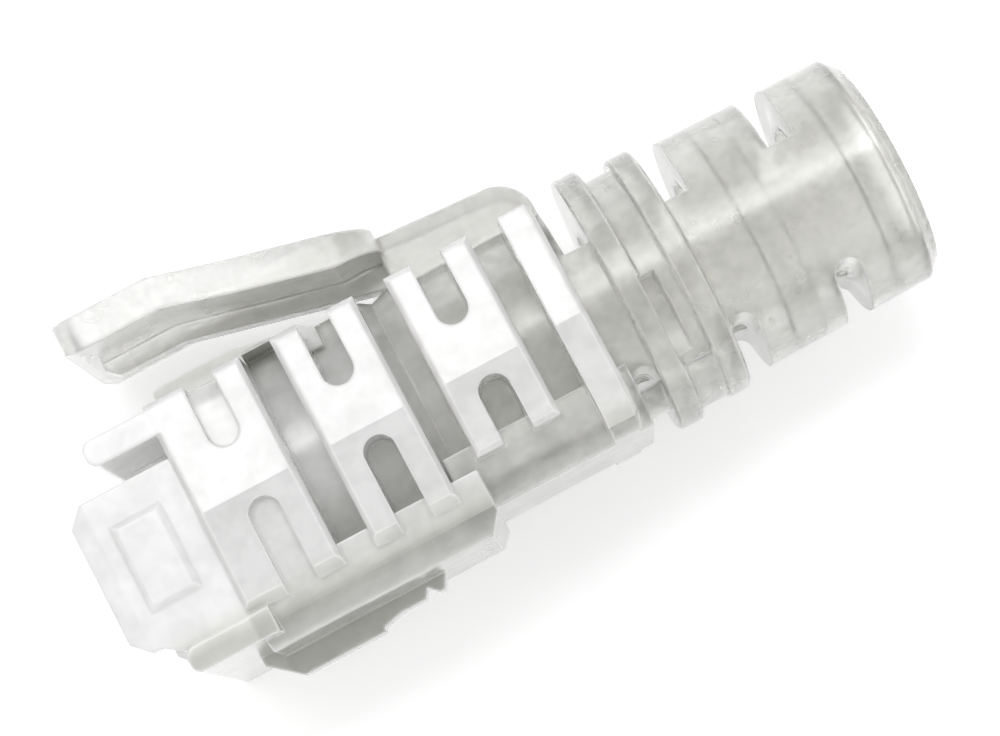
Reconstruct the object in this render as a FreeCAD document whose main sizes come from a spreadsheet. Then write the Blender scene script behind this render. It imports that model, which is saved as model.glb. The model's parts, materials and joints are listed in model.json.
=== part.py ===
# A one-piece moulded strain relief boot for an 8-way modular plug.
#
# The boot is drawn in its mould frame and laid on its side at the very end:
#   x runs from the front of the claws to the cable end,
#   y runs up from the cable axis towards the guard arm,
#   z runs sideways from the mould's parting plane, so both sides are mirror images.
# Each block of the moulding is a body of its own; they are fused, the hollows are cut away,
# and the single solid is placed with its side pads on the ground.
import FreeCAD, Part
import os
import re

import Sketcher

NODE = "strain_relief_boot"
ROOM = 40.0  # longer than any block, for cuts that run right out of the part

DOC = FreeCAD.newDocument("StrainReliefBoot")

# ---------------------------------------------------------------- driving dimensions, in mm
SIZES = {
    # how far a cut runs out past the part
    "runout": 1.0,
    # the plug that goes in at the front
    "plug_width": 11.7,
    "plug_height": 7.6,
    "plug_clearance": 0.1,
    "plug_middle": -0.9,
    "plug_depth": 8.0,
    # walls round the plug
    "side_wall": 0.4,
    "back_wall": 0.75,
    "roof_wall": 1.1,
    "floor_wall": 1.45,
    "wall_start": 4.6,
    "lower_round": 2.4,
    "upper_round": 0.9,
    # tongues above and below the plug, and the claws at its sides
    "tongue_start": 1.8,
    "tongue_wall": 1.05,
    "tongue_join": 0.8,
    "tongue_nose": 0.4,
    "claw_wall": 0.5,
    "claw_top": 2.05,
    "claw_foot": -4.3,
    "claw_bevel_long": 0.8,
    "claw_bevel_deep": 0.3,
    "claw_corner": 0.7,
    "block_start": 1.35,
    "block_long": 2.2,
    "block_top": 0.75,
    "block_tall": 3.7,
    "block_proud": 0.3,
    "block_bevel": 0.28,
    # grip pads: pairs of bars joined by a bridge, with a slot above and one below
    "pad_proud": 0.45,
    "pad_pitch": 4.95,
    "bar_wide": 1.15,
    "slot_wide": 1.3,
    "pad_top": 4.25,
    "pad_foot": -4.75,
    "rear_pad_foot": -3.55,
    "slot_end_top": 1.35,
    "slot_end_low": -0.95,
    "pad_edge": 0.2,
    "pad_toe": 0.45,
    # round core and lower tubs
    "core_radius": 5.0,
    "waist_deep": 0.3,
    "waist_front_slope": 0.5,
    "waist_rear_slope": 0.9,
    "tub_end": 14.8,
    "tub_rim": -3.9,
    "tub_end_rise": 0.7,
    "tub_end_slope": 0.6,
    "tub_overlap": 1.0,
    "rear_tub_half": 5.7,
    "rear_tub_bottom": -5.3,
    "rear_tub_rim": -2.9,
    "rear_tub_round": 2.3,
    # raised roof over the plug
    "band_start": 4.95,
    "band_half": 4.0,
    "band_rise": 1.05,
    "band_plate": 0.45,
    "band_front_round": 0.35,
    "band_flat_end": 8.3,
    "band_step_start": 10.2,
    "band_step_end": 11.1,
    "band_step_drop": 0.35,
    "band_end": 11.8,
    "band_end_drop": 0.75,
    # fin with two teeth below the floor
    "fin_wide": 1.2,
    "fin_start": 3.7,
    "fin_slope_long": 1.25,
    "fin_drop": 1.05,
    "fin_flat_end": 8.6,
    "fin_step": 0.2,
    "tooth_drop": 0.65,
    "first_tooth_start": 9.5,
    "first_tooth_long": 1.1,
    "tooth_gap": 0.25,
    "tooth_gap_drop": 0.25,
    "second_tooth_start": 11.25,
    "tooth_tip": 0.2,
    "tooth_end": 11.8,
    # guard arm
    "arm_half": 4.75,
    "arm_taper_deep": 0.5,
    "arm_waist_start": 9.8,
    "arm_thick": 1.4,
    "arm_start": 2.6,
    "arm_under": 7.7,
    "arm_bend": 6.8,
    "arm_slope": 0.25,
    "arm_level_start": 13.6,
    "arm_corner": 0.6,
    "arm_nose_long": 0.5,
    "arm_nose_rise": 0.2,
    "rib_wide": 1.0,
    "rib_tall": 0.75,
    "rib_nose": 0.45,
    "rib_setback": 0.8,
    "neck_half": 2.3,
    "neck_start": 15.4,
    "neck_top": 6.65,
    "neck_fall": 0.4,
    "neck_overlap": 0.15,
    "neck_round": 1.6,
    # slotted tail
    "rear_end": 21.75,
    "first_slot": 1.05,
    "first_ring_long": 1.1,
    "first_ring_proud": 0.65,
    "land_long": 1.2,
    "second_ring_long": 1.05,
    "second_ring_proud": 0.4,
    "second_slot": 1.1,
    "third_ring_long": 3.5,
    "third_slot": 1.15,
    "last_ring_long": 3.2,
    "tail_radius": 4.95,
    "tail_taper": 0.15,
    "end_chamfer": 0.5,
    "ring_edge": 0.12,
    "slot_draft": 0.05,
    "slot_top_floor": 2.1,
    "slot_low_roof": -3.1,
    "strap_top": -3.8,
    "strap_radius": 4.75,
    "strap_overlap": 0.4,
    # bore for the cable
    "bore_radius": 3.2,
    "bore_funnel": 3.6,
    "funnel_long": 1.2,
    "bore_lip": 0.3,
    "grip_setback": 1.35,
    "grip_long": 1.3,
    "grip_deep": 0.7,
    # side windows of the tail
    "window_setback": 0.15,
    "window_long": 0.75,
    "window_top": -0.1,
    "window_deep": 3.7,
}

# lengths that follow from the driving ones
DERIVED = {
    "cavity_half": "plug_width / 2 + plug_clearance",
    "cavity_top": "plug_middle + plug_height / 2 + plug_clearance",
    "cavity_floor": "plug_middle - plug_height / 2 - plug_clearance",
    "wall_half": "plug_width / 2 + plug_clearance + side_wall",
    "pad_half": "plug_width / 2 + plug_clearance + side_wall + pad_proud",
    "shell_end": "plug_depth + back_wall",
    "pad_start": "plug_depth + back_wall - 2 * bar_wide - slot_wide",
    "claw_half": "plug_width / 2 + plug_clearance + claw_wall",
    "roof_top": "plug_middle + plug_height / 2 + plug_clearance + roof_wall",
    "floor_bottom": "plug_middle - plug_height / 2 - plug_clearance - floor_wall",
    "arm_root_half": "arm_half - arm_taper_deep",
    "arm_top": "arm_under + arm_thick",
    "fin_bottom": "plug_middle - plug_height / 2 - plug_clearance - floor_wall - fin_drop",
    "waist_radius": "core_radius - waist_deep",
    "first_ring_radius": "core_radius + first_ring_proud",
    "second_ring_radius": "core_radius + second_ring_proud",
    "first_ring_start": "rear_end + first_slot",
    "first_ring_end": "first_ring_start + first_ring_long",
    "second_ring_start": "first_ring_end + land_long",
    "second_ring_end": "second_ring_start + second_ring_long",
    "third_ring_start": "second_ring_end + second_slot",
    "third_ring_end": "third_ring_start + third_ring_long",
    "last_ring_start": "third_ring_end + third_slot",
    "tail_end": "last_ring_start + last_ring_long",
}


def fill_sheet():
    """Write every size into a spreadsheet, with its name as the cell's alias."""
    sheet = DOC.addObject("Spreadsheet::Sheet", "Sizes")
    rows = [(name, str(size)) for name, size in SIZES.items()]
    rows += [(name, "=" + formula) for name, formula in DERIVED.items()]
    for row, (name, content) in enumerate(rows, start=1):
        sheet.set("A%d" % row, name)
        sheet.set("B%d" % row, content)
        sheet.setAlias("B%d" % row, name)
    DOC.recompute()
    return sheet


SHEET = fill_sheet()


def bound(formula):
    """Put the sheet's name before each size named in a formula."""
    return re.sub(r"[a-z][a-z_]+", lambda word: "Sizes." + word.group(0), str(formula))


def value(formula):
    """The present value of a formula, in mm."""
    return float(SHEET.evalExpression(str(formula)))


# ---------------------------------------------------------------- helpers for bodies and sketches
def new_body(name):
    return DOC.addObject("PartDesign::Body", name)


def new_sketch(body, name, role, offset="0"):
    """A sketch on one of the body's own origin planes, shifted along the plane's normal."""
    sketch = body.newObject("Sketcher::SketchObject", name)
    plane = next(item for item in body.Origin.OriginFeatures if item.Role == role)
    sketch.AttachmentSupport = [(plane, "")]
    sketch.MapMode = "FlatFace"
    sketch.setExpression("AttachmentOffset.Base.z", bound(offset))
    return sketch


def tie(sketch, kind, element, vertex, formula):
    """Hold one coordinate of a point at the value of a formula."""
    number = sketch.addConstraint(
        Sketcher.Constraint(kind, -1, 1, element, vertex, value(formula)))
    sketch.setExpression("Constraints[%d]" % number, bound(formula))


def outline(body, name, role, corners, offset="0"):
    """A closed outline of straight edges; each corner is a pair of formulas."""
    sketch = new_sketch(body, name, role, offset)
    points = [FreeCAD.Vector(value(across), value(up), 0) for across, up in corners]
    count = len(points)
    for index in range(count):
        sketch.addGeometry(Part.LineSegment(points[index], points[(index + 1) % count]))
    for index in range(count):
        sketch.addConstraint(Sketcher.Constraint("Coincident", index, 2, (index + 1) % count, 1))
    for index, (across, up) in enumerate(corners):
        tie(sketch, "DistanceX", index, 1, across)
        tie(sketch, "DistanceY", index, 1, up)
    return sketch


def rectangle(body, name, role, left, right, low, high, offset="0"):
    corners = [(left, low), (right, low), (right, high), (left, high)]
    return outline(body, name, role, corners, offset)


def disc(body, name, role, across, up, radius, offset="0"):
    """A circle whose centre and radius are formulas."""
    sketch = new_sketch(body, name, role, offset)
    centre = FreeCAD.Vector(value(across), value(up), 0)
    sketch.addGeometry(Part.Circle(centre, FreeCAD.Vector(0, 0, 1), value(radius)))
    tie(sketch, "DistanceX", 0, 3, across)
    tie(sketch, "DistanceY", 0, 3, up)
    number = sketch.addConstraint(Sketcher.Constraint("Radius", 0, value(radius)))
    sketch.setExpression("Constraints[%d]" % number, bound(radius))
    return sketch


def extrude(body, kind, sketch, length, symmetric):
    feature = body.newObject(kind, sketch.Name + kind.split("::")[1])
    feature.Profile = sketch
    feature.setExpression("Length", bound(length))
    feature.SideType = "Symmetric" if symmetric else "One side"
    DOC.recompute()
    return feature


def pad(body, sketch, length, symmetric=True):
    return extrude(body, "PartDesign::Pad", sketch, length, symmetric)


def pocket(body, sketch, length, symmetric=True, backwards=False):
    """Cut a sketch's outline out of the body, and make sure that it did cut."""
    before = body.Shape.Volume
    feature = extrude(body, "PartDesign::Pocket", sketch, length, symmetric)
    if backwards:
        feature.Reversed = True
        DOC.recompute()
    assert body.Shape.Volume < before, sketch.Name + " cuts nothing"
    return feature


def revolve(body, sketch):
    """Turn an outline drawn above the x axis once round that axis."""
    feature = body.newObject("PartDesign::Revolution", sketch.Name + "Revolution")
    feature.Profile = sketch
    feature.ReferenceAxis = (sketch, ["H_Axis"])
    feature.Angle = 360
    DOC.recompute()
    return feature


def chosen_edges(shape, wanted):
    """Names of the edges that a test picks."""
    return ["Edge%d" % (index + 1) for index, edge in enumerate(shape.Edges) if wanted(edge)]


def finish_edges(body, kind, name, wanted, prop, size):
    """Fillet or chamfer the edges that a test picks on the body as it stands."""
    base = body.Tip
    edges = chosen_edges(base.Shape, wanted)
    assert edges, name + " finds no edge"
    feature = body.newObject(kind, name)
    feature.Base = (base, edges)
    feature.setExpression(prop, bound(size))
    DOC.recompute()
    return feature


def fillet(body, name, wanted, radius):
    return finish_edges(body, "PartDesign::Fillet", name, wanted, "Radius", radius)


def chamfer(body, name, wanted, size):
    return finish_edges(body, "PartDesign::Chamfer", name, wanted, "Size", size)


def lies_at(edge, axis, place):
    """True when both ends of an edge have one coordinate at a place."""
    ends = [getattr(vertex.Point, axis) for vertex in edge.Vertexes]
    return all(abs(end - place) < 1e-4 for end in ends)


def lies_out(edge, axis, place):
    """True when an edge lies at plus or at minus a place on an axis."""
    return lies_at(edge, axis, place) or lies_at(edge, axis, -place)


# ---------------------------------------------------------------- walls round the plug
def make_shell():
    """The box that takes the plug's tail, with a tub below it that runs further back."""
    body = new_body("Shell")
    box = rectangle(body, "ShellBox", "XY_Plane",
                    "wall_start", "shell_end", "floor_bottom", "roof_top")
    pad(body, box, "2 * wall_half")
    tub = [
        ("wall_start", "floor_bottom"),
        ("tub_end - tub_end_slope", "floor_bottom"),
        ("tub_end", "floor_bottom + tub_end_rise"),
        ("tub_end", "tub_rim"),
        ("wall_start", "tub_rim"),
    ]
    pad(body, outline(body, "Tub", "XY_Plane", tub), "2 * wall_half")
    half = value("wall_half")
    fillet(body, "LowerRound",
           lambda edge: lies_out(edge, "z", half) and lies_at(edge, "y", value("floor_bottom")),
           "lower_round")
    fillet(body, "UpperRound",
           lambda edge: lies_out(edge, "z", half) and lies_at(edge, "y", value("roof_top")),
           "upper_round")
    return body


def make_tongues():
    """Two full-width tongues that reach forward above and below the plug."""
    body = new_body("Tongues")
    top = rectangle(body, "TopTongue", "XY_Plane",
                    "tongue_start", "wall_start + tongue_join", "cavity_top", "cavity_top + tongue_wall")
    pad(body, top, "2 * pad_half")
    low = rectangle(body, "LowTongue", "XY_Plane", "tongue_start", "wall_start + tongue_join",
                    "cavity_floor - tongue_wall", "cavity_floor")
    pad(body, low, "2 * pad_half")
    tip = value("tongue_start")
    fillet(body, "TongueNoses", lambda edge: lies_at(edge, "x", tip)
           and not lies_at(edge, "z", edge.Vertexes[0].Point.z), "tongue_nose")
    return body


def make_claws():
    """Side claws that reach furthest forward; the plug's cavity later parts them."""
    body = new_body("Claws")
    corners = [
        ("0", "claw_foot + claw_corner"),
        ("claw_corner", "claw_foot"),
        ("tongue_start - claw_corner", "claw_foot"),
        ("tongue_start", "cavity_floor"),
        ("wall_start + tongue_join", "cavity_floor"),
        ("wall_start + tongue_join", "claw_top"),
        ("claw_corner", "claw_top"),
        ("0", "claw_top - claw_corner"),
    ]
    pad(body, outline(body, "ClawSide", "XY_Plane", corners), "2 * claw_half")
    bevel = [("0", "claw_half - claw_bevel_deep"), ("claw_bevel_long", "claw_half"),
             ("claw_bevel_long", "claw_half + runout"), ("-runout", "claw_half + runout"),
             ("-runout", "claw_half - claw_bevel_deep")]
    for side, sign in (("Near", 1), ("Far", -1)):
        mirrored = [(across, "%d * (%s)" % (sign, up)) for across, up in bevel]
        cut = outline(body, side + "Bevel", "XZ_Plane", mirrored)
        pocket(body, cut, str(ROOM))
    block = rectangle(body, "LatchBlock", "XY_Plane", "block_start", "block_start + block_long",
                      "block_top - block_tall", "block_top")
    pad(body, block, "2 * (claw_half + block_proud)")
    reach = value("claw_half + block_proud")
    chamfer(body, "BlockBevel", lambda edge: lies_out(edge, "z", reach), "block_bevel")
    return body


# ---------------------------------------------------------------- grip pads
def make_pad(name, start, foot, toe, front=None):
    """Two bars and a bridge, as one prism through the boot, with a round-ended slot above and below."""
    body = new_body(name)
    left = front or start
    right = "%s + 2 * bar_wide + slot_wide" % start
    pad(body, rectangle(body, name + "Block", "XY_Plane", left, right, foot, "pad_top"), "2 * pad_half")
    half = value("pad_half")
    chamfer(body, name + "Toe",
            lambda edge: lies_out(edge, "z", half) and lies_at(edge, "y", value(foot)), toe)
    chamfer(body, name + "Edges", lambda edge: lies_out(edge, "z", half)
            and not lies_at(edge, "y", value("%s + %s" % (foot, toe))), "pad_edge")
    slot_left = "%s + bar_wide" % start
    slot_right = "%s + bar_wide + slot_wide" % start
    middle = "%s + bar_wide + slot_wide / 2" % start
    for label, end, out in (("Top", "slot_end_top + slot_wide / 2", "pad_top + runout"),
                            ("Low", "slot_end_low - slot_wide / 2", "%s - runout" % foot)):
        straight = rectangle(body, name + label + "Slot", "XY_Plane", slot_left, slot_right, end, out)
        pocket(body, straight, str(ROOM))
        pocket(body, disc(body, name + label + "End", "XY_Plane", middle, end, "slot_wide / 2"), str(ROOM))
    return body


def make_pads():
    """Three pads at one pitch, and a single bar that closes the body."""
    pads = []
    ends = (("pad_foot", "pad_toe"), ("pad_foot", "pad_toe"), ("rear_pad_foot", "pad_edge"))
    for index, (foot, toe) in enumerate(ends):
        start = "pad_start + %d * pad_pitch" % index
        front = "wall_start" if index == 0 else None
        pads.append(make_pad("Pad%d" % (index + 1), start, foot, toe, front))
    body = new_body("EndBar")
    left = "pad_start + 3 * pad_pitch"
    bar = rectangle(body, "EndBarBlock", "XY_Plane", left, left + " + bar_wide + pad_edge",
                    "rear_tub_bottom", "pad_top")
    pad(body, bar, "2 * pad_half")
    fillet(body, "EndBarLow", lambda edge: lies_at(edge, "y", value("rear_tub_bottom"))
           and lies_out(edge, "z", value("pad_half")), "lower_round")
    chamfer(body, "EndBarEdges", lambda edge: lies_at(edge, "x", value(left + " + bar_wide + pad_edge")),
            "pad_edge")
    return pads + [body]


# ---------------------------------------------------------------- roof band and fin
def make_band():
    """The raised roof: solid over the plug, a thin plate over the first gap, then two steps down."""
    body = new_body("RoofBand")
    second_pad = "pad_start + pad_pitch"
    corners = [
        ("band_start", "roof_top - roof_wall / 2"),
        ("band_start", "roof_top + band_rise"),
        ("band_flat_end", "roof_top + band_rise"),
        ("band_step_start", "roof_top + band_rise - band_step_drop"),
        ("band_step_end", "roof_top + band_rise - band_step_drop"),
        ("band_end", "roof_top + band_rise - band_end_drop"),
        ("band_end", "roof_top - roof_wall / 2"),
        (second_pad, "roof_top - roof_wall / 2"),
        (second_pad, "roof_top + band_rise - band_plate"),
        ("shell_end", "roof_top + band_rise - band_plate"),
        ("shell_end", "roof_top - roof_wall / 2"),
    ]
    pad(body, outline(body, "BandSide", "XY_Plane", corners), "2 * band_half")
    fillet(body, "BandFront", lambda edge: lies_at(edge, "x", value("band_start"))
           and lies_at(edge, "y", value("roof_top + band_rise")), "band_front_round")
    return body


def make_fin():
    """A thin fin below the floor: a long flat block, a lower step, and two teeth."""
    body = new_body("Fin")
    first_tooth_end = "first_tooth_start + first_tooth_long"
    corners = [
        ("fin_start", "floor_bottom + floor_wall / 2"),
        ("fin_start", "floor_bottom"),
        ("fin_start + fin_slope_long", "fin_bottom"),
        ("fin_flat_end", "fin_bottom"),
        ("fin_flat_end", "fin_bottom + fin_step"),
        ("first_tooth_start", "floor_bottom - tooth_drop"),
        (first_tooth_end, "floor_bottom - tooth_drop"),
        (first_tooth_end + " + tooth_gap", "floor_bottom - tooth_gap_drop"),
        ("second_tooth_start", "floor_bottom - tooth_drop"),
        ("second_tooth_start + tooth_tip", "floor_bottom - tooth_drop"),
        ("tooth_end", "floor_bottom"),
        ("tooth_end", "floor_bottom + floor_wall / 2"),
    ]
    pad(body, outline(body, "FinSide", "XY_Plane", corners), "fin_wide")
    return body


# ---------------------------------------------------------------- guard arm
def make_arm():
    """A wide springy plate over the plug's latch, with a rib below and a neck down to the core."""
    body = new_body("Arm")
    root = "neck_start + neck_overlap"
    under = "arm_under - (arm_level_start - arm_bend) * arm_slope"
    top = "arm_top - (neck_start - arm_bend) * arm_slope"
    plate = [
        ("arm_start", "arm_under + arm_nose_rise"),
        ("arm_start + arm_nose_long", "arm_under"),
        ("arm_bend", "arm_under"),
        ("arm_level_start", under),
        (root, under),
        (root, top),
        ("arm_bend", "arm_top"),
        ("arm_start", "arm_top"),
    ]
    pad(body, outline(body, "ArmPlate", "XY_Plane", plate), "2 * arm_half")
    taper = [("arm_bend", "arm_half"), ("arm_waist_start", "arm_root_half"), (root, "arm_root_half"),
             (root, "arm_half + runout"), ("arm_bend", "arm_half + runout")]
    for side, sign in (("Near", 1), ("Far", -1)):
        mirrored = [(across, "%d * (%s)" % (sign, up)) for across, up in taper]
        pocket(body, outline(body, side + "Taper", "XZ_Plane", mirrored), str(ROOM))
    fillet(body, "ArmTipCorners", lambda edge: lies_at(edge, "x", value("arm_start"))
           and lies_out(edge, "z", value("arm_half")), "arm_corner")
    fillet(body, "ArmRootCorners", lambda edge: lies_at(edge, "x", value(root))
           and lies_out(edge, "z", value("arm_root_half")), "arm_root_half - neck_half")
    rib_root = "neck_start + 2 * neck_overlap"
    rib_fall = "(%s - arm_bend) * arm_slope" % rib_root
    rib = [
        ("arm_start + rib_setback", "arm_under - rib_tall + rib_nose"),
        ("arm_start + rib_setback + rib_nose", "arm_under - rib_tall"),
        ("arm_bend", "arm_under - rib_tall"),
        (rib_root, "arm_under - rib_tall - " + rib_fall),
        (rib_root, "arm_under + arm_thick / 2 - " + rib_fall),
        ("arm_bend", "arm_under + arm_thick / 2"),
        ("arm_start + rib_setback", "arm_under + arm_thick / 2"),
    ]
    pad(body, outline(body, "ArmRib", "XY_Plane", rib), "rib_wide")
    return body


def make_neck():
    """The block that carries the arm, with a large round at its rear top corner."""
    body = new_body("Neck")
    corners = [
        ("neck_start", "0"),
        ("rear_end", "0"),
        ("rear_end", "neck_top - neck_fall"),
        ("neck_start", "neck_top"),
    ]
    pad(body, outline(body, "NeckSide", "XY_Plane", corners), "2 * neck_half")
    fillet(body, "NeckRear", lambda edge: lies_at(edge, "x", value("rear_end"))
           and lies_at(edge, "y", value("neck_top - neck_fall")), "neck_round")
    return body


# ---------------------------------------------------------------- core and slotted tail
def make_tail():
    """Core, flexible rings and end collar, turned as one profile round the cable axis."""
    body = new_body("Tail")
    waist_left = "pad_start + pad_pitch + 2 * bar_wide + slot_wide"
    waist_right = "pad_start + 2 * pad_pitch"
    corners = [
        ("plug_depth", "0"),
        ("plug_depth", "core_radius"),
        (waist_left, "core_radius"),
        (waist_left + " + waist_front_slope", "waist_radius"),
        (waist_right + " - waist_rear_slope", "waist_radius"),
        (waist_right, "core_radius"),
        ("rear_end", "core_radius"),
        ("first_ring_start", "core_radius"),
        ("first_ring_start", "first_ring_radius"),
        ("first_ring_end", "first_ring_radius"),
        ("first_ring_end", "core_radius"),
        ("second_ring_start", "core_radius"),
        ("second_ring_start", "second_ring_radius"),
        ("second_ring_end", "second_ring_radius"),
        ("second_ring_end", "tail_radius + tail_taper"),
        ("tail_end - end_chamfer", "tail_radius"),
        ("tail_end", "tail_radius - end_chamfer"),
        ("tail_end", "0"),
    ]
    revolve(body, outline(body, "TailProfile", "XY_Plane", corners))
    rings = [("first_ring_start", "first_ring_radius"), ("first_ring_end", "first_ring_radius"),
             ("second_ring_start", "second_ring_radius"), ("second_ring_end", "second_ring_radius")]
    places = [(value(along), value(radius)) for along, radius in rings]
    chamfer(body, "RingEdges", lambda edge: any(
        isinstance(edge.Curve, Part.Circle) and abs(edge.Curve.Radius - radius) < 1e-4
        and lies_at(edge, "x", along) for along, radius in places), "ring_edge")
    return body


def make_top_slot(name, left, wide):
    """A slot cut in from above, a little wider at its mouth than at its flat floor."""
    body = new_body(name)
    right = "%s + %s" % (left, wide)
    corners = [
        (left, "slot_top_floor"),
        (right, "slot_top_floor"),
        (right + " + slot_draft", "neck_top + runout"),
        (left + " - slot_draft", "neck_top + runout"),
    ]
    pad(body, outline(body, name + "Side", "XY_Plane", corners), str(ROOM))
    return body


def make_low_slot(name, left, wide):
    """A slot cut in from below, with a round roof."""
    body = new_body(name)
    right = "%s + %s" % (left, wide)
    centre = "slot_low_roof - %s / 2" % wide
    straight = rectangle(body, name + "Side", "XY_Plane", left, right, "floor_bottom - runout", centre)
    pad(body, straight, str(ROOM))
    roof = disc(body, name + "Roof", "XY_Plane", "%s + %s / 2" % (left, wide), centre, "%s / 2" % wide)
    pad(body, roof, str(ROOM))
    return body


def make_slots():
    """Three pairs of slots that let the tail bend."""
    slots = []
    places = (("First", "rear_end", "first_slot"), ("Second", "second_ring_end", "second_slot"),
              ("Third", "third_ring_end", "third_slot"))
    for label, left, wide in places:
        slots.append(make_top_slot(label + "TopSlot", left, wide))
        slots.append(make_low_slot(label + "LowSlot", left, wide))
    return slots


def make_strap():
    """A low strap that ties the body to the first two rings under the slot and the land."""
    body = new_body("Strap")
    pad(body, disc(body, "StrapRound", "YZ_Plane", "0", "0", "strap_radius", "rear_end - strap_overlap"),
        "first_slot + 2 * strap_overlap", symmetric=False)
    land = disc(body, "StrapLand", "YZ_Plane", "0", "0", "second_ring_radius - ring_edge",
                "first_ring_end - strap_overlap")
    pad(body, land, "land_long + 2 * strap_overlap", symmetric=False)
    pocket(body, rectangle(body, "StrapTop", "XY_Plane", "rear_end - runout", "second_ring_start + runout",
                           "strap_top", "core_radius + runout"), str(ROOM))
    return body


# ---------------------------------------------------------------- hollows
def make_cavity():
    """The space for the plug, the funnel behind it and the cable's bore."""
    body = new_body("Cavity")
    box = rectangle(body, "CavityBox", "XY_Plane", "-runout", "plug_depth", "cavity_floor", "cavity_top")
    pad(body, box, "2 * cavity_half")
    bore = [
        ("plug_depth", "0"),
        ("plug_depth", "bore_funnel"),
        ("plug_depth + funnel_long", "bore_radius"),
    ]
    for ring in ("third_ring_start", "last_ring_start"):
        left = ring + " + grip_setback"
        right = left + " + grip_long"
        bore += [(left, "bore_radius"), (left, "bore_radius + grip_deep"),
                 (right, "bore_radius + grip_deep"), (right, "bore_radius")]
    bore += [
        ("tail_end - bore_lip", "bore_radius"),
        ("tail_end + runout", "bore_radius + bore_lip + runout"),
        ("tail_end + runout", "0"),
    ]
    revolve(body, outline(body, "BoreProfile", "XY_Plane", bore))
    return body


def make_windows():
    """Blind windows in both sides of the land between the first two rings."""
    windows = []
    for side, sign in (("Near", 1), ("Far", -1)):
        body = new_body(side + "Window")
        offset = "%d * window_deep" % sign
        left = "first_ring_end - window_setback"
        block = rectangle(body, side + "WindowBlock", "XY_Plane", left,
                          left + " + window_long", "strap_top", "window_top", offset)
        feature = pad(body, block, "core_radius", symmetric=False)
        feature.Reversed = sign < 0
        DOC.recompute()
        windows.append(body)
    return windows


# ---------------------------------------------------------------- one moulding
def fuse(name, bodies):
    union = DOC.addObject("Part::MultiFuse", name)
    union.Shapes = bodies
    return union


def make_boot():
    """Fuse the blocks, cut the hollows and lay the boot on its side pads."""
    rear = new_body("RearTub")
    block = rectangle(rear, "RearTubBlock", "XY_Plane", "tub_end - tub_overlap", "rear_end",
                      "rear_tub_bottom", "rear_tub_rim")
    pad(rear, block, "2 * rear_tub_half")
    fillet(rear, "RearTubRound", lambda edge: lies_out(edge, "z", value("rear_tub_half"))
           and lies_at(edge, "y", value("rear_tub_bottom")), "rear_tub_round")
    blocks = [make_shell(), make_tongues(), make_claws(), rear, make_band(), make_fin()]
    blocks += make_pads() + [make_arm(), make_neck(), make_tail()]
    raw = fuse("RawMoulding", blocks)
    slotted = DOC.addObject("Part::Cut", "SlottedMoulding")
    slotted.Base = raw
    slotted.Tool = fuse("SlotCuts", make_slots() + make_windows())
    strapped = fuse("StrappedMoulding", [slotted, make_strap()])
    boot = DOC.addObject("Part::Cut", "Boot")
    boot.Base = strapped
    boot.Tool = make_cavity()
    boot.Label = NODE
    boot.setExpression("Placement.Base.x", bound("-tail_end / 2"))
    boot.setExpression("Placement.Base.y", bound("-(arm_top + fin_bottom) / 2"))
    boot.setExpression("Placement.Base.z", bound("pad_half"))
    DOC.recompute()
    return boot


def check_document():
    """Stop if any object of the document failed to compute."""
    for item in DOC.Objects:
        failed = [state for state in item.State if state in ("Invalid", "Error")]
        assert not failed, "%s is %s" % (item.Name, failed)


BOOT = make_boot()
check_document()
SHAPE = BOOT.Shape
assert not SHAPE.isNull() and SHAPE.isValid(), "the boot is not a valid shape"
assert len(SHAPE.Solids) == 1, "the boot is not one solid"
os.makedirs("parts", exist_ok=True)
SHAPE.exportStep(os.path.join("parts", NODE + ".step"))
print("solids", len(SHAPE.Solids), "volume %.1f mm3" % SHAPE.Volume, "box", SHAPE.BoundBox)
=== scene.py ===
# %% [markdown]
# A strain relief boot slides over the end of a network cable and grips the plug in front of it.
# The whole boot is one soft moulding of clear plastic that is a little milky, so this lesson has
# one piece, and most of the work is in its edges, in its plastic and in the light.
# The solid comes from the CAD step with its rings and grooves already cut, so no loose piece is
# left that repeats or follows a path. We load it, and keep its box for its size and its front.

# %% Load the moulding
import json
import math

import bpy
from mathutils import Matrix, Vector


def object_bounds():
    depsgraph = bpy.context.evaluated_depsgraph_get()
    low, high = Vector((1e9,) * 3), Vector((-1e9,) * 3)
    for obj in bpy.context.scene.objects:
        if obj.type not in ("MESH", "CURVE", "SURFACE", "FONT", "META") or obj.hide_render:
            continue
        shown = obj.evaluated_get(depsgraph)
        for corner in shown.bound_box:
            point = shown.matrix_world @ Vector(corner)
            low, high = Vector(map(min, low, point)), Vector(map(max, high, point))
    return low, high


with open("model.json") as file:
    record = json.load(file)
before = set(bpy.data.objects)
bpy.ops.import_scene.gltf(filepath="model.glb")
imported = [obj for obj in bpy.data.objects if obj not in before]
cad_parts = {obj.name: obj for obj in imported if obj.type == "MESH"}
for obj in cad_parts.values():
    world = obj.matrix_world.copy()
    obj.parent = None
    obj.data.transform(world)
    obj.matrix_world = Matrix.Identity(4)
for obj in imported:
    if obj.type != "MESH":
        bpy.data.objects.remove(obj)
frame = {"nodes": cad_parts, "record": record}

MM = 0.001
cad_low, cad_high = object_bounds()
solid = frame["nodes"]["strain_relief_boot"]
size_mm = [round((high - low) / MM, 2) for low, high in zip(cad_low, cad_high)]
print("the moulding is", size_mm, "mm")

# %% [markdown]
# The boot lies on the flat side of its finger grips. Everything that follows is placed from two
# things that the boot knows about itself: the front of the claws, and the line down the middle
# of the cable's bore. Positions could be typed in by eye, but then they would be wrong as soon
# as the boot's size changed.

# %% Find the front of the boot and its axis
bore = next(mount for mount in frame["record"]["mounts"] if mount["name"] == "cable_bore")
front = Vector((cad_low[0], bore["pos_m"][1], bore["pos_m"][2]))
print("front of the axis at", [round(part / MM, 2) for part in front], "mm")

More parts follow.
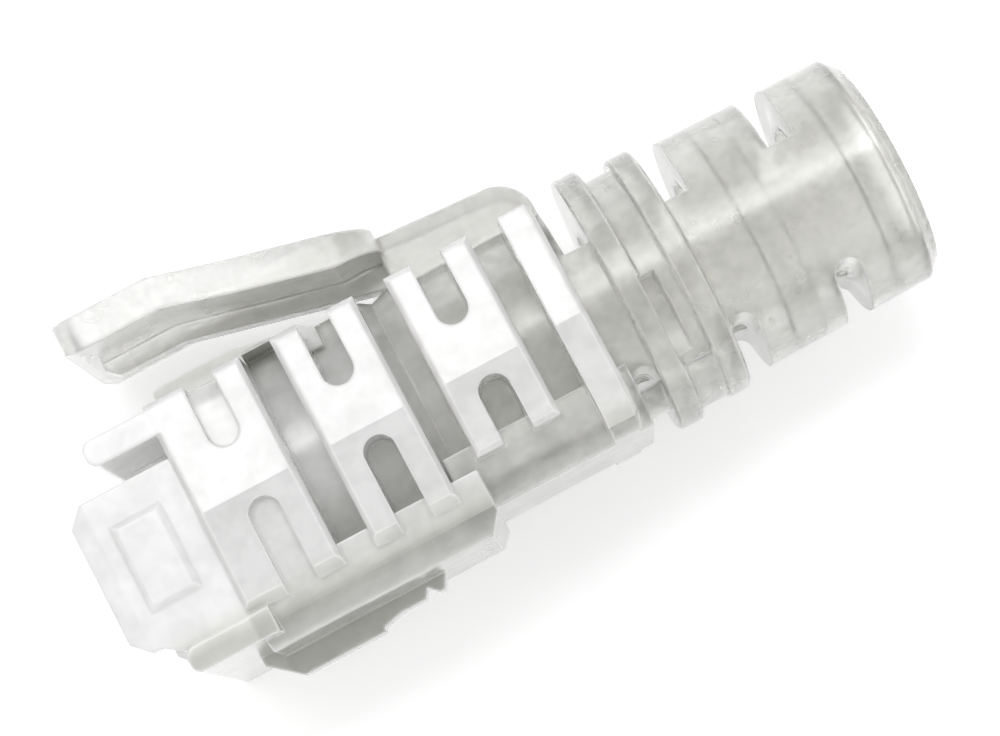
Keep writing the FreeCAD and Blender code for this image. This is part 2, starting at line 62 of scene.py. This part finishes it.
# %% [markdown]
# The camera looks down on the boot from almost straight above, a little from the side away from
# the guard arm, and it is turned so that the boot lies at a slant in its view. The three
# directions of the view are worked out and put into a matrix. A Track To constraint could aim
# the camera too, but the slant would then need a second step.

# %% Place the camera
CAMERA_FROM_FRONT = Vector((15.16, -16.6, 120.0)) * MM
AIM_FROM_FRONT = Vector((17.546, 0.0, 0.0)) * MM
CAMERA_TURN = math.radians(28)
FILM_WIDTH = 36
FOCAL_LENGTH = 108
NEAREST = 1 * MM

camera_place = front + CAMERA_FROM_FRONT
forward = (front + AIM_FROM_FRONT - camera_place).normalized()
level = (Vector((1, 0, 0)) - forward * forward.x).normalized()
upright = level.cross(forward)
right = level * math.cos(CAMERA_TURN) - upright * math.sin(CAMERA_TURN)
top = level * math.sin(CAMERA_TURN) + upright * math.cos(CAMERA_TURN)

camera_data = bpy.data.cameras.new("camera")
camera_data.sensor_width = FILM_WIDTH
camera_data.lens = FOCAL_LENGTH
camera_data.clip_start = NEAREST
camera = bpy.data.objects.new("camera", camera_data)
bpy.context.collection.objects.link(camera)
turned = Matrix((right, top, -forward)).transposed().to_4x4()
camera.matrix_world = Matrix.Translation(camera_place) @ turned
bpy.context.scene.camera = camera
bpy.context.scene.view_settings.view_transform = "Standard"
print("camera", round((camera_place - front).length / MM), "mm from the boot's front")

# %% [markdown]
# Small helpers for node trees. A node tree is easier to read when each line makes one node and
# says what goes into it, so `node` makes a node and sets or links its inputs by name. The others
# cover what the plastic needs most: a sum, a ramp between two places, and a mix of two colours.

# %% Helpers for node trees
def node(tree, kind, inputs=None, **settings):
    """Make a node; an input is either a plain value or another node's output."""
    made = tree.nodes.new(kind)
    for name, setting in settings.items():
        setattr(made, name, setting)
    for name, given in (inputs or {}).items():
        if isinstance(given, bpy.types.NodeSocket):
            tree.links.new(given, made.inputs[name])
        else:
            made.inputs[name].default_value = given
    return made


def maths(tree, operation, first, second=0.0):
    """One sum on two values, each a number or another node's output."""
    return node(tree, "ShaderNodeMath", {0: first, 1: second}, operation=operation).outputs[0]


def ramp(tree, measure, places, levels=(0.0, 1.0)):
    """Run from one level to another as a measure passes from one place to another."""
    made = node(tree, "ShaderNodeMapRange", {"Value": measure,
                                             "From Min": places[0], "From Max": places[1],
                                             "To Min": levels[0], "To Max": levels[1]})
    return made.outputs["Result"]


def mix_colours(tree, share, first, second):
    """A colour between two, each a plain colour or another node's output."""
    made = node(tree, "ShaderNodeMix", {0: share, 6: first, 7: second}, data_type="RGBA")
    return made.outputs[2]


def new_material(name):
    """A material with an empty node tree and its output node."""
    material = bpy.data.materials.new(name)
    material.use_nodes = True
    material.node_tree.nodes.clear()
    output = material.node_tree.nodes.new("ShaderNodeOutputMaterial")
    return material, material.node_tree, output


print("helpers ready: node, maths, ramp, mix_colours and new_material")

# %% [markdown]
# The floor is plain white paper. It has to come out white behind the boot and still show the
# boot's shadow, so it is a white diffuse surface with a little glow that the camera, reflections
# and see-through plastic all see alike. The glow lights nothing, so the boot keeps its own
# shading, and the shadow stays because the diffuse part of the floor carries it.

# %% Lay the floor
FLOOR_HALF = 0.6
PAPER_GLOW = 0.42
PAPER_WHITE = (0.82, 0.82, 0.82, 1)

floor_mesh = bpy.data.meshes.new("floor")
floor_mesh.from_pydata(
    [(-FLOOR_HALF, -FLOOR_HALF, 0), (FLOOR_HALF, -FLOOR_HALF, 0),
     (FLOOR_HALF, FLOOR_HALF, 0), (-FLOOR_HALF, FLOOR_HALF, 0)], [], [(0, 1, 2, 3)])
floor = bpy.data.objects.new("floor", floor_mesh)
bpy.context.collection.objects.link(floor)

paper, tree, output = new_material("white_paper")
ray = node(tree, "ShaderNodeLightPath")
direct = maths(tree, "MAXIMUM", ray.outputs["Is Camera Ray"], ray.outputs["Is Glossy Ray"])
seen = maths(tree, "MAXIMUM", direct, ray.outputs["Is Transmission Ray"])
glow = maths(tree, "MULTIPLY", seen, PAPER_GLOW)
matt = node(tree, "ShaderNodeBsdfDiffuse", {"Color": PAPER_WHITE})
lit = node(tree, "ShaderNodeEmission", {"Color": (1, 1, 1, 1), "Strength": glow})
both = node(tree, "ShaderNodeAddShader", {0: matt.outputs[0], 1: lit.outputs[0]})
tree.links.new(both.outputs[0], output.inputs["Surface"])
floor_mesh.materials.append(paper)
print("floor laid, glow", PAPER_GLOW)

# %% [markdown]
# A clear plastic part is drawn by what it reflects and bends, so the light matters as much as
# the plastic. The world comes first. An even white surround, weaker than the softboxes, shows in
# every face that leans away from them and greys the plastic there. A sky with bright windows in
# it could stand in for all the lamps, but one level and three lamps are easier to change.

# %% World light
WORLD_LEVEL = 0.65
world = bpy.data.worlds.new("studio")
bpy.context.scene.world = world
world.use_nodes = True
background = world.node_tree.nodes["Background"]
background.inputs["Color"].default_value = (1, 1, 1, 1)
background.inputs["Strength"].default_value = WORLD_LEVEL
print("world light", WORLD_LEVEL)


# %% [markdown]
# Three softboxes hang round the boot, each a long lamp that fills a band of tilts. The bright one
# is placed where the upper half of each grip pad mirrors it and the lower half just misses it.
# The weaker one next to it draws the soft bright line along the round tail. The last one stands
# low on the other side and lifts the underside of the guard arm a little.
# Lamps could be set by power, but what a glossy part mirrors is how bright the lamp's face is, so
# we choose that, and the power follows from it.

# %% Softboxes
SOFTBOX_AWAY = 0.35
SOFTBOX_WIDE = 0.28


def softbox(name, aim, first, last, level):
    """A long lamp that fills the angles between two tilts from straight up, in degrees.

    Its power is worked out from how bright its face should look.
    """
    tilt = math.radians((first + last) / 2)
    tall = 2 * SOFTBOX_AWAY * math.tan(math.radians((last - first) / 2))
    data = bpy.data.lights.new(name, "AREA")
    data.shape = "RECTANGLE"
    data.size = SOFTBOX_WIDE
    data.size_y = tall
    data.energy = level * math.pi * SOFTBOX_WIDE * tall
    lamp = bpy.data.objects.new(name, data)
    bpy.context.collection.objects.link(lamp)
    lamp.location = aim + Vector((0, math.sin(tilt), math.cos(tilt))) * SOFTBOX_AWAY
    lamp.rotation_euler = (-tilt, 0, 0)
    print(name, "power", round(data.energy, 3), "W")


middle = front + AIM_FROM_FRONT
softbox("pad_light", middle, first=12, last=21, level=5.0)
softbox("tail_light", middle, first=21, last=35, level=2.6)
softbox("fill_light", middle, first=-70, last=-40, level=0.9)

# %% [markdown]
# The plastic is one Principled surface, part clear and part milky. What feeds it is drawn from
# the boot's own coordinates, so it stays put when the boot is turned or seen from elsewhere.
# We start with distances: along the boot from its front, up and sideways from the cable's axis,
# away from that axis, and away from the mould's parting line.

# %% Measure from the front, the axis and the parting line
PARTING_HEIGHT = -0.5 * MM

plastic, tree, output = new_material("milky_plastic")
where = node(tree, "ShaderNodeTexCoord").outputs["Object"]
from_front = node(tree, "ShaderNodeVectorMath", {0: where, 1: tuple(front)}, operation="SUBTRACT")
parts = node(tree, "ShaderNodeSeparateXYZ", {"Vector": from_front.outputs[0]})
along = parts.outputs["X"]
height = parts.outputs["Y"]
sideways = maths(tree, "ABSOLUTE", parts.outputs["Z"])
across = node(tree, "ShaderNodeVectorMath", {0: from_front.outputs[0], 1: (0, 1, 1)},
              operation="MULTIPLY")
off_axis = node(tree, "ShaderNodeVectorMath", {0: across.outputs[0]}, operation="LENGTH")
above_parting = maths(tree, "SUBTRACT", height, PARTING_HEIGHT)
from_parting = maths(tree, "ABSOLUTE", above_parting)
print("parting line at", PARTING_HEIGHT / MM, "mm from the axis")

# %% [markdown]
# Next come the regions in which the plastic changes: the claws in front of the walls, the pads at
# the sides, the shell round the plug, the tail, the guard arm, and the neck and tubs above and
# below the pads. Each is a value between 0 and 1, and most change over a short distance, named
# here as the place where the change begins and its length. A region could be painted by hand
# instead, but a ramp on a distance follows the boot's sizes and needs no unwrapping.

# %% Regions of the boot
PAD_FOOT = 5.8 * MM
CLAWS_END, CLAWS_FADE = 4.5 * MM, 0.5 * MM
SHELL_END, SHELL_FADE = 12.0 * MM, 4.0 * MM
TAIL_START, TAIL_FADE = 20.5 * MM, 1.5 * MM
ARM_UNDER, ARM_FADE = 6.9 * MM, 0.5 * MM
TUB_TOP, TUB_FADE = -3.8 * MM, -1.5 * MM
PAD_TOP, NECK_FADE = 4.3 * MM, 0.4 * MM
NECK_SHADE_SHARE = 0.7

on_pads = maths(tree, "GREATER_THAN", sideways, PAD_FOOT)
on_claws = ramp(tree, along, (CLAWS_END, CLAWS_END + CLAWS_FADE), (1.0, 0.0))
on_shell = ramp(tree, along, (SHELL_END, SHELL_END + SHELL_FADE), (1.0, 0.0))
on_rear = ramp(tree, along, (SHELL_END, TAIL_START))
on_tail = ramp(tree, along, (TAIL_START, TAIL_START + TAIL_FADE))
on_arm = ramp(tree, height, (ARM_UNDER, ARM_UNDER + ARM_FADE))
# Painted shade: the tub and neck masks say where the tint turns grey.
tub_shade_mask = ramp(tree, height, (TUB_TOP, TUB_TOP + TUB_FADE))
above_pads = ramp(tree, height, (PAD_TOP, PAD_TOP + NECK_FADE), (0.0, NECK_SHADE_SHARE))
off_arm = maths(tree, "SUBTRACT", 1.0, on_arm)
neck_shade_mask = maths(tree, "MULTIPLY", above_pads, off_arm)
painted_shade = maths(tree, "MAXIMUM", tub_shade_mask, neck_shade_mask)
print("from the front: claws end", CLAWS_END / MM, "mm, shell", SHELL_END / MM,
      "mm, tail starts", TAIL_START / MM, "mm")

# %% [markdown]
# Now the surface's lean and its edges. A mould opens along a parting line, and its walls lean a
# few degrees away from that line on both sides so that the part comes out. The lean is too slight
# to matter for the boot's size, but it splits the sheen of every pad in two, so a bump draws it.
# A Bevel node rounds the edges by about a fifth of a millimetre, since real rounding of so many
# crossing edges would tear the mesh. Where the rounded normal differs from the flat one we are
# on an edge, and that gives a mask for the rims, where a painted highlight stands in for the
# light that the rounded edges catch.

# %% Lean of the walls and rounded edges
DRAFT = math.tan(math.radians(4))
EDGE_ROUND = 0.18 * MM
RIM_AGREEMENT = (0.98, 0.85)

rounded = node(tree, "ShaderNodeBevel", {"Radius": EDGE_ROUND}, samples=6).outputs[0]
behind_claws = maths(tree, "GREATER_THAN", along, CLAWS_END)
leaning = maths(tree, "MULTIPLY", on_pads, behind_claws)
slope = maths(tree, "MULTIPLY", leaning, -DRAFT)
fall = maths(tree, "MULTIPLY", from_parting, slope)
lean = node(tree, "ShaderNodeBump", {"Strength": 1.0, "Distance": 1.0, "Height": fall,
                                     "Normal": rounded}).outputs[0]
flat = node(tree, "ShaderNodeNewGeometry").outputs["Normal"]
agreement = node(tree, "ShaderNodeVectorMath", {0: rounded, 1: flat}, operation="DOT_PRODUCT")
on_rim = ramp(tree, agreement.outputs["Value"], RIM_AGREEMENT)
print("pads lean", round(math.degrees(math.atan(DRAFT)), 1), "degrees, edges rounded by",
      round(EDGE_ROUND / MM, 2), "mm")

# %% [markdown]
# Soft plastic is never evenly clear. Two noises make it uneven. The wide one drifts over a few
# millimetres and changes the tint and the dullness. The fine one gives small cloudy spots, and
# makes the wall of the bore a little wavy, which is a guess at a wall that a cable hides. One
# noise could do both jobs, but their sizes couldn't then be set apart.

# %% Uneven plastic
CLOUDS_PER_METRE = 260.0
SPOTS_PER_METRE = 700.0
CLOUD_RANGE = (0.3, 0.7)
SPOT_RANGE = (0.35, 0.65)
SHINIEST, DULLEST = 0.14, 0.26
SPOT_STRENGTH = 0.06
BORE_WALL, BORE_FADE = 3.3 * MM, 0.2 * MM
WAVE_DEPTH = 0.12 * MM

cloud = node(tree, "ShaderNodeTexNoise", {"Vector": where, "Scale": CLOUDS_PER_METRE,
                                          "Detail": 3.0, "Roughness": 0.55}).outputs["Fac"]
lumps = node(tree, "ShaderNodeTexNoise", {"Vector": where, "Scale": SPOTS_PER_METRE,
                                          "Detail": 2.0, "Roughness": 0.6,
                                          "Distortion": 0.2}).outputs["Fac"]
rough = ramp(tree, cloud, CLOUD_RANGE, (SHINIEST, DULLEST))
spots = ramp(tree, lumps, SPOT_RANGE, (-SPOT_STRENGTH, SPOT_STRENGTH))
in_bore = ramp(tree, off_axis.outputs["Value"], (BORE_WALL, BORE_WALL + BORE_FADE), (1.0, 0.0))
wave = maths(tree, "MULTIPLY", lumps, in_bore)
skin = node(tree, "ShaderNodeBump", {"Strength": 1.0, "Distance": WAVE_DEPTH, "Height": wave,
                                     "Normal": lean}).outputs[0]
print("tint drifts over about", round(1 / CLOUDS_PER_METRE / MM), "mm, dullness from",
      SHINIEST, "to", DULLEST)

# %% [markdown]
# How clear the plastic is depends on the place. The claws are the milkiest, then the pads and
# the shell, and the tail and the arm are the clearest. The rims are milkier than the faces they
# border, which whitens them along with their painted highlight. Separate materials could do this,
# but they would meet in hard lines that one moulding doesn't have.

# %% Clearness
CLEAR = 0.72
MILKY = 0.08
TAIL_CLEAR = 0.83
ARM_CLEAR = 0.85
SHELL_MILK = 0.55
PAD_MILK = 0.7
RIM_MILK = 0.5

pad_milk = maths(tree, "MULTIPLY", on_pads, PAD_MILK)
shell_milk = maths(tree, "MULTIPLY", on_shell, SHELL_MILK)
wall_milk = maths(tree, "MAXIMUM", pad_milk, shell_milk)
milk = maths(tree, "MAXIMUM", on_claws, wall_milk)
body_clear = ramp(tree, milk, (0.0, 1.0), (CLEAR, MILKY))
tail_extra = maths(tree, "MULTIPLY", on_tail, TAIL_CLEAR - CLEAR)
with_tail = maths(tree, "ADD", body_clear, tail_extra)
with_arm = node(tree, "ShaderNodeMix", {0: on_arm, 2: with_tail, 3: ARM_CLEAR},
                data_type="FLOAT").outputs[0]
spotted = maths(tree, "ADD", with_arm, spots)
rim_milk = maths(tree, "MULTIPLY", on_rim, RIM_MILK)
clearness = maths(tree, "SUBTRACT", spotted, rim_milk)
print("clearness from", MILKY, "at the claws to", ARM_CLEAR, "at the arm")

# %% [markdown]
# The tint is a warm white. It is a little greyer towards the tail, and much greyer in the neck
# above the pads and in the tubs below them, which is painted shade. Milky places are paler, the
# arm is paler as painted light, and the rims are paler as a painted highlight on their rounded
# edges. Masks give each place a tint of its own.

# %% Tint
TINT_LOW = (0.92, 0.92, 0.885, 1)
TINT_HIGH = (0.96, 0.96, 0.93, 1)
REAR_TINT = (0.87, 0.87, 0.835, 1)
# Painted shade for the neck and the tubs.
PAINTED_SHADE_TINT = (0.66, 0.66, 0.625, 1)
PALE_TINT = (0.99, 0.99, 0.965, 1)
# Painted light that lifts the guard arm towards white.
ARM_PAINTED_LIGHT = 0.8
# Painted highlight on the rounded edges.
RIM_PAINTED_HIGHLIGHT = 0.7

drifting = mix_colours(tree, cloud, TINT_LOW, TINT_HIGH)
to_rear = mix_colours(tree, on_rear, drifting, REAR_TINT)
# Paint the shade into the tint.
shade_painted_tint = mix_colours(tree, painted_shade, to_rear, PAINTED_SHADE_TINT)
unshaded = maths(tree, "SUBTRACT", 1.0, painted_shade)
pale_milk = maths(tree, "MULTIPLY", milk, unshaded)
# Painted light on the arm.
painted_arm_light = maths(tree, "MULTIPLY", on_arm, ARM_PAINTED_LIGHT)
# Painted highlight on the rims.
painted_rim_highlight = maths(tree, "MULTIPLY", on_rim, RIM_PAINTED_HIGHLIGHT)
milk_and_arm_light = maths(tree, "MAXIMUM", pale_milk, painted_arm_light)
milk_and_painted_light = maths(tree, "MAXIMUM", milk_and_arm_light, painted_rim_highlight)
colour = mix_colours(tree, milk_and_painted_light, shade_painted_tint, PALE_TINT)
print("deepest tint", PAINTED_SHADE_TINT[:3])

# %% [markdown]
# Last, the surface itself. An even coat lies over a base whose dullness drifts, so that the
# sheen stays whole and still changes a little from place to place. A short scatter under the
# surface softens the milky share, the same for all three colours, so that no coloured blotches
# appear. The finished plastic goes into the moulding's own material slot.

# %% Milky plastic
PLASTIC_IOR = 1.45
COAT_DULLNESS = 0.2
SCATTER = 0.3 * MM

face = node(tree, "ShaderNodeBsdfPrincipled",
            {"Base Color": colour, "Roughness": rough, "IOR": PLASTIC_IOR,
             "Transmission Weight": clearness, "Normal": skin,
             "Subsurface Weight": 1.0, "Subsurface Scale": SCATTER, "Subsurface Radius": (1, 1, 1),
             "Coat Weight": 1.0, "Coat Roughness": COAT_DULLNESS, "Coat IOR": PLASTIC_IOR,
             "Coat Normal": skin})
tree.links.new(face.outputs[0], output.inputs["Surface"])
for slot in solid.material_slots:
    slot.material = plastic
print("milky plastic on", len(solid.material_slots), "slot")
